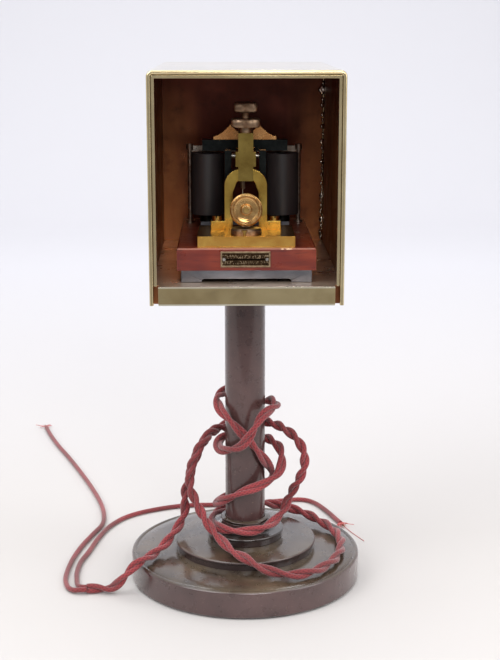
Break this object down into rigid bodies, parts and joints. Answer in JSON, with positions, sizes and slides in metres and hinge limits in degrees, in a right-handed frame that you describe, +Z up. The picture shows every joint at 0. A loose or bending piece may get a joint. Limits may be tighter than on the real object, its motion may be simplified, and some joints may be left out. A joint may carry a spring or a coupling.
{
  "type": "telegraph sounder on a pedestal stand",
  "caption": "Electromagnetic telegraph sounder on a mahogany board inside an open-fronted brass resonator hood, carried on a round pole and stepped base with cloth-braided flex.",
  "frame": {"origin": "centre of the round base's underside, on the table", "axes": "+Z up along the pole; -Y towards the open mouth of the hood; +X to the right seen from the front"},
  "size_m": [0.3475, 0.5663, 0.4574],
  "materials": {
    "enamel": "glossy dark brown enamel",
    "felt": "baize",
    "hood_brass": "aged lacquered sheet brass",
    "iron": "worn machined casting",
    "blued_steel": "blued",
    "steel": "dull",
    "bright_brass": "polished, lightly tarnished",
    "old_brass": "lacquered, tarnished",
    "wheel_brass": "polished, copper toned",
    "bronze": "dark bronzed",
    "ebonite": "satin black ebonite",
    "mahogany": "french polished",
    "copper_wire": "cotton covered wire",
    "silk": "silk thread",
    "crimson_braid": "braided cotton"
  },
  "bodies": {
    "stand": {"base_felt": "felt", "base_disc": "enamel", "base_step": "enamel", "base_socket": "enamel", "pole_collar": "enamel", "pole_tube": "enamel", "tie_rod": "steel", "tie_rod_nuts": "steel", "head_flange": "enamel", "flange_screws": "steel", "tray": "hood_brass", "hood_shell": "hood_brass", "front_bead": "hood_brass", "trim_strip": "hood_brass", "cord_grommet": "ebonite", "iron_base": "iron", "mahogany_board": "mahogany", "board_screws": "steel", "name_plate": "bright_brass", "name_plate_pins": "bright_brass", "brass_plate": "bright_brass", "bridge_arch": "old_brass", "bridge_screws": "bright_brass", "gallows_bar": "old_brass", "gallows_screws": "steel", "stop_bush": "bronze", "pivot_fork": "blued_steel", "frame_screws": "steel", "yoke": "iron", "coil_core_left": "blued_steel", "coil_core_right": "blued_steel", "bobbin_left": "ebonite", "bobbin_right": "ebonite", "winding_left": "copper_wire", "winding_right": "copper_wire", "coil_cover_left": "ebonite", "coil_cover_right": "ebonite", "windlass_post": "bronze", "tension_spring": "steel", "silk_thread": "silk", "plate_pin": "bright_brass", "terminal_posts": "bright_brass", "back_frame": "bronze", "internal_leads": "crimson_braid", "flex_pair": "crimson_braid", "tail_long": "crimson_braid", "tail_short": "crimson_braid"},
    "lever_assembly": {"lever": "old_brass", "hammer_stud": "steel", "armature": "blued_steel", "saddle": "bright_brass", "saddle_screw": "bronze", "arbor": "steel"},
    "upper_stop": {"stop_screw": "bronze"},
    "lock_nut": {"stop_locknut": "bronze"},
    "windlass": {"windlass_spindle": "steel", "tension_wheel": "wheel_brass"},
    "left_terminal_nut": {"terminal_nut_left": "bright_brass"},
    "right_terminal_nut": {"terminal_nut_right": "bright_brass"}
  },
  "joints": [
    {"name": "lever_rock", "type": "hinge", "parent": "stand", "child": "lever_assembly", "pos_m": [0, -0.026, 0.384], "axis": [-1, 0, 0], "range_deg": [0, 1.7], "stiffness_Nm_per_rad": 0.5, "springref_deg": -6.88, "deforming": ["tension_spring"]},
    {"name": "upper_stop_turn", "type": "hinge", "parent": "stand", "child": "upper_stop", "pos_m": [0, -0.0504, 0.41], "axis": [0, 0, 1], "range_deg": [-180, 180]},
    {"name": "lock_nut_turn", "type": "hinge", "parent": "stand", "child": "lock_nut", "pos_m": [0, -0.0504, 0.413], "axis": [0, 0, 1], "range_deg": [-180, 180]},
    {"name": "windlass_turn", "type": "hinge", "parent": "stand", "child": "windlass", "pos_m": [0, -0.075, 0.3465], "axis": [0, 1, 0], "range_deg": [-180, 180]},
    {"name": "left_terminal_turn", "type": "hinge", "parent": "stand", "child": "left_terminal_nut", "pos_m": [-0.031, 0.06, 0.3347], "axis": [0, 0, 1], "continuous": true},
    {"name": "right_terminal_turn", "type": "hinge", "parent": "stand", "child": "right_terminal_nut", "pos_m": [0.031, 0.06, 0.3347], "axis": [0, 0, 1], "continuous": true}
  ]
}
